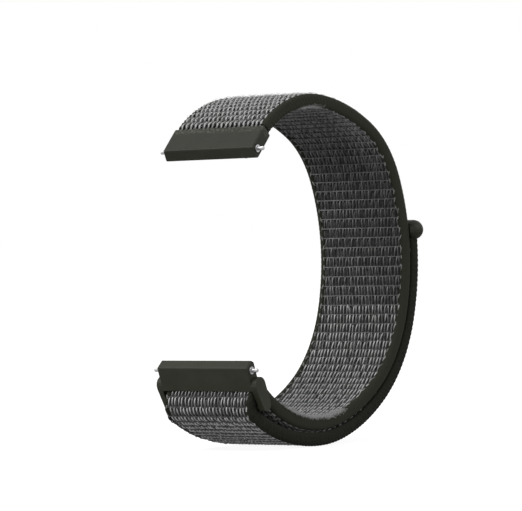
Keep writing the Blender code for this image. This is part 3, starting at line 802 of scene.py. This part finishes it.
def edgeProfile(look):
    # Points of a rounded rectangle, evenly spaced round its outline
    halfX = look["width"] / 2
    halfZ = look["thickness"] / 2
    outline = []
    power = look["squareness"]
    for index in range(look["outlineSteps"]):
        angle = math.tau * index / look["outlineSteps"]
        x, z = math.cos(angle), math.sin(angle)
        scale = (abs(x) ** power + abs(z) ** power) ** (-1 / power)
        outline.append((x * scale * halfX, z * scale * halfZ))
    outline = np.array(outline + outline[:1])
    run = np.concatenate(([0], np.cumsum(np.hypot(*np.diff(outline, axis=0).T))))
    spots = np.linspace(0, run[-1], look["around"], endpoint=False)
    return np.column_stack([np.interp(spots, run, outline[:, axis]) for axis in (0, 1)])


def makeEdge(name, look, side, start, end, paint):
    around = look["around"]
    cord = flatGrid(name, around, round((end - start) / look["step"]))
    points = readPoints(cord.data)
    turnShare = (points[:, 0] + 1) / 2
    along = start + (points[:, 1] + 1) / 2 * (end - start)
    spot = edgeProfile(look)[np.round(turnShare * around).astype(int) % around]
    lean = turnShare * math.tau * 2
    depth = np.interp(along, look["ribPlaces"], look["ribs"])
    rib = (np.abs(np.sin(math.pi * along / look["ribPitch"] + lean)) - 1) * depth
    length = np.hypot(spot[:, 0], spot[:, 1])
    swollen = spot * (1 + rib / length)[:, None]
    reach, swell, offset = (
        np.interp(along, look["reachPlaces"], look[kind]) for kind in ("reaches", "swells", "offsets")
    )
    across = side * (reach - look["width"] / 2 + swollen[:, 0])
    writePoints(cord.data, np.column_stack((across, along, swollen[:, 1] * swell - offset)))
    bpy.ops.object.mode_set(mode="EDIT")
    bpy.ops.mesh.select_all(action="SELECT")
    bpy.ops.mesh.remove_doubles(threshold=0.000001)
    bpy.ops.mesh.fill_holes(sides=0)
    bpy.ops.mesh.select_all(action="SELECT")
    bpy.ops.mesh.normals_make_consistent(inside=False)
    bpy.ops.object.mode_set(mode="OBJECT")
    # Painted light and shade: light along the band, dark on the lap
    setTone(cord, np.interp(readPoints(cord.data)[:, 1], look["lapShadePlaces"], look["tones"]))
    layOnRoute(cord)
    smooth(cord)
    cord.data.materials.append(paint)
    return cord


cordEnd = beadPlace - edgeCord["beadGap"]
for label, side, look in (("Near", 1, edgeCord), ("Far", -1, farCord)):
    for part, start, end in (("bandEdge", strap["tail"], splitPlace), ("endEdge", splitPlace, cordEnd)):
        name = part + label
        woven[name] = makeEdge(name, look, side, start, end, paints["edge"])
for label, start, end, seed in (("band", rowStart, splitPlace, 21), ("end", splitPlace, rowEnd, 22)):
    for face, side in (("EdgeLoops", 1), ("EdgeStrokes", -1)):
        name = label + face
        look = {**edgeLoop, "side": side}
        woven[name] = setOutLoops(name, look, start, end, seed + side, paints["edge"])
print("selvedges made")


# Hook tape on the inside of the loose end
def makeHookTape(look, paint):
    middle = (hookStart + hookEnd) / 2
    tape = flatGrid("hookTape", 4, 60)
    points = readPoints(tape.data)
    points[:, 0] *= look["halfWidth"]
    points[:, 1] = middle + points[:, 1] * look["length"] / 2
    points[:, 2] = (look["bottom"] + look["top"]) / 2
    writePoints(tape.data, points)
    finishWith(tape, "SOLIDIFY", thickness=look["top"] - look["bottom"], offset=0)
    deselect()
    bpy.ops.mesh.primitive_cylinder_add(vertices=5, radius=look["stem"], depth=look["tall"])
    hook = bpy.context.object
    hook.name = "hooks"
    bpy.ops.object.mode_set(mode="EDIT")
    bpy.ops.mesh.select_all(action="SELECT")
    bpy.ops.mesh.bisect(plane_co=(0, 0, look["tall"] * look["bendAt"]), plane_no=(0, 0, 1))
    bpy.ops.object.mode_set(mode="OBJECT")
    points = readPoints(hook.data)
    top = points[:, 2] > look["tall"] * 0.3
    points[top, :2] *= look["thinTop"]
    points[top, 1] += look["bend"]
    points[:, 2] += look["top"] + look["tall"] / 2 - look["sunk"]
    writePoints(hook.data, points)
    columns = int(2 * look["halfWidth"] / look["pitchAcross"]) - 1
    rows = int(look["length"] / look["pitchAlong"]) - 1
    repeatAlong(hook, columns, (look["pitchAcross"], 0, 0))
    repeatAlong(hook, rows, (0, look["pitchAlong"], 0))
    points = readPoints(hook.data)
    points[:, 0] -= (columns - 1) / 2 * look["pitchAcross"]
    points[:, 1] += middle - (rows - 1) / 2 * look["pitchAlong"]
    writePoints(hook.data, points)
    for piece in (tape, hook):
        setTone(piece, look["tone"])
        layOnRoute(piece)
        smooth(piece, 40)
        piece.data.materials.append(paint)
    return tape, hook


woven["hookTape"], woven["hooks"] = makeHookTape(hookTape, paints["edge"])
print("hook tape made")


# The band's pieces go with its body and the hook tape with the loose end's; the loose end's other pieces
# are only baked in place. The span where it peels from the lap is worked out but not used.
peelBend = {"half": 0.0035}


def pointOnRoute(distance):
    y, z, heading = routeAt([distance])
    return (0, float(y[0]), float(z[0]))


bendStart = pointOnRoute(peelPlace - peelBend["half"])
bendEnd = pointOnRoute(peelPlace + peelBend["half"])
standsFor = {
    "bandGround": ("band_weave",), "endGround": ("flap_weave",), "hookTape": ("hook_patch",),
    "bandEdgeNear": ("band_edge_near",), "bandEdgeFar": ("band_edge_far",),
    "endEdgeNear": ("flap_edge_near",), "endEdgeFar": ("flap_edge_far",),
}
for name, piece in woven.items():
    if name in ("hookTape", "hooks"):
        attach(piece, "free_end")
    elif name.startswith("end"):
        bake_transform(piece)
        "edge_cord" if "Edge" in name else "weave"
    else:
        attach(piece, "band")
        "edge_cord" if "Edge" in name else "weave"
    if name in standsFor:
        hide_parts(*standsFor[name])


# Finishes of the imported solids
def dress(nodeName, paint):
    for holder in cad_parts[nodeName].material_slots:
        holder.material = paint


dress("upper_connector", paints["pressed"])
dress("lower_frame", paints["moulded"])
# The bead gets the darker copy, as painted shade
dress("end_bead", paints["bead"])
for side in ("upper_bar_", "lower_bar_"):
    for part in ("barrel", "fixed_tip", "sliding_tip", "lever"):
        dress(side + part, paints["steel"])
    dress(side + "spring", paints["spring"])
print("solids dressed")


# Floor, world and lamps
studio = {
    "floorHeight": -0.0374,
    "floorReach": 3.0,
    "pale": 0.50,                   # the floor as it lights the strap
    "seenPale": 0.95,               # and as the camera sees it
    "worldStrength": 0.10,
    "floorGlow": 0.15,
    "seenGlow": 0.80,
    "glowStrength": 1.15,
    "glowReach": (0.08, 0.30),      # from here outwards the floor fades into the white background
    "lamps": (
        {"name": "keyLamp", "place": (-0.25, -0.45, 0.55), "size": 0.45, "power": 5.9},
        {"name": "frontLamp", "place": (0.10, -0.70, 0.04), "size": 0.14, "power": 2.5},
        {"name": "sideLamp", "place": (0.65, 0.05, 0.30), "size": 0.30, "power": 1.9},
        {"name": "highLamp", "place": (0.45, 0.10, 0.50), "size": 0.40, "power": 1.1},
        {"name": "backLamp", "place": (0.10, 0.60, 0.30), "size": 0.50, "power": 0.3},
    ),
}


def makeFloor(look):
    deselect()
    reach, height = look["floorReach"], look["floorHeight"]
    bpy.ops.mesh.primitive_grid_add(
        x_subdivisions=4, y_subdivisions=4, size=2 * reach, location=(0, 0, height),
    )
    floor = bpy.context.object
    floor.name = "paleFloor"
    bpy.ops.object.transform_apply(location=True, rotation=False, scale=False)
    paint = bpy.data.materials.new("palePaper")
    paint.use_nodes = True
    tree = paint.node_tree
    tree.nodes.clear()
    wire = Wire(tree)
    seen = wire.add("ShaderNodeLightPath")
    grey, bright = ((tone, tone, tone, 1) for tone in (look["pale"], look["seenPale"]))
    paper = wire.add("ShaderNodeBsdfDiffuse", None, {"Color": seen.blendOf(grey, bright)})
    white = (1, 1, 1, 1)
    glow = wire.add("ShaderNodeEmission", None, {"Color": white, "Strength": look["glowStrength"]})
    place = wire.add("ShaderNodeTexCoord", None, None, 3)
    fromMiddle = wire.add("ShaderNodeVectorMath", {"operation": "LENGTH"}, {0: place}, 1)
    far = fromMiddle.between(*look["glowReach"])
    more = far * (1 - look["seenGlow"]) + (look["seenGlow"] - look["floorGlow"])
    share = seen * more + look["floorGlow"]
    mixed = wire.add("ShaderNodeMixShader", None, {0: share, 1: paper, 2: glow})
    output = tree.nodes.new("ShaderNodeOutputMaterial")
    tree.links.new(mixed.socket, output.inputs["Surface"])
    floor.data.materials.append(paint)


def makeWorld(look):
    world = bpy.data.worlds.new("paleRoom")
    bpy.context.scene.world = world
    world.use_nodes = True
    tree = world.node_tree
    tree.nodes.clear()
    wire = Wire(tree)
    light, white = (
        wire.add("ShaderNodeBackground", None, {"Color": (1, 1, 1, 1), "Strength": strength})
        for strength in (look["worldStrength"], 1.0)
    )
    path = tree.nodes.new("ShaderNodeLightPath")
    seen = Wire(tree, path.outputs["Is Camera Ray"])
    glossy = Wire(tree, path.outputs["Is Glossy Ray"])
    through = Wire(tree, path.outputs["Is Transmission Ray"])
    share = (seen + glossy + through).between(0, 1)
    mixed = wire.add("ShaderNodeMixShader", None, {0: share, 1: light, 2: white})
    output = tree.nodes.new("ShaderNodeOutputWorld")
    tree.links.new(mixed.socket, output.inputs["Surface"])


def makeLamps(look):
    for lamp in look["lamps"]:
        bpy.ops.object.light_add(type="AREA", location=lamp["place"])
        light = bpy.context.object
        light.name = lamp["name"]
        light.data.size = lamp["size"]
        light.data.energy = lamp["power"]
        light.rotation_mode = "QUATERNION"
        light.rotation_quaternion = (-Vector(lamp["place"])).to_track_quat("-Z", "Y")


makeFloor(studio)
makeWorld(studio)
makeLamps(studio)
bpy.context.scene.view_settings.view_transform = "Standard"
print("studio ready")
